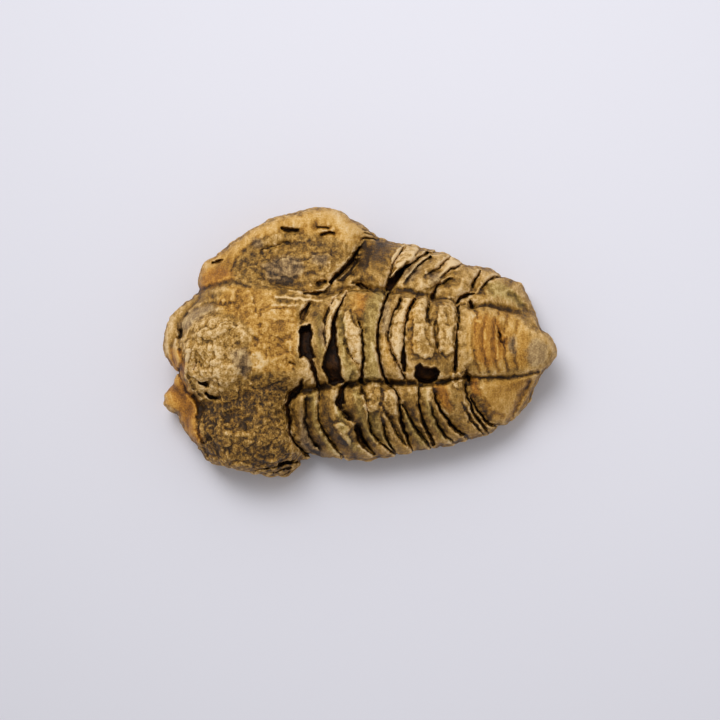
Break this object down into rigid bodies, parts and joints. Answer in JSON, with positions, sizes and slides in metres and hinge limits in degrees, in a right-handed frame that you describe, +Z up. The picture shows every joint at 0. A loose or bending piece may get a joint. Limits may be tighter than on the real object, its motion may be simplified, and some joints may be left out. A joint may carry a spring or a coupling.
{
  "type": "trilobite fossil",
  "caption": "Loose trilobite fossil, a worn calymenid lying back up on a flat underside: rough lumpy head, ribbed thorax with deep clefts, rounded tail shield",
  "frame": {"origin": "on the flat underside, below the middle of the body's axis", "axes": "+X along the body from head to tail, +Y towards the fossil's right-hand side (far side in the picture), +Z up out of its back"},
  "size_m": [0.0713, 0.0496, 0.024],
  "materials": {
    "stone": "worn ochre and olive-brown limestone with pale calcite chips and dark clefts, matte"
  },
  "bodies": {
    "root": {"trilobite": "stone"}
  },
  "joints": []
}
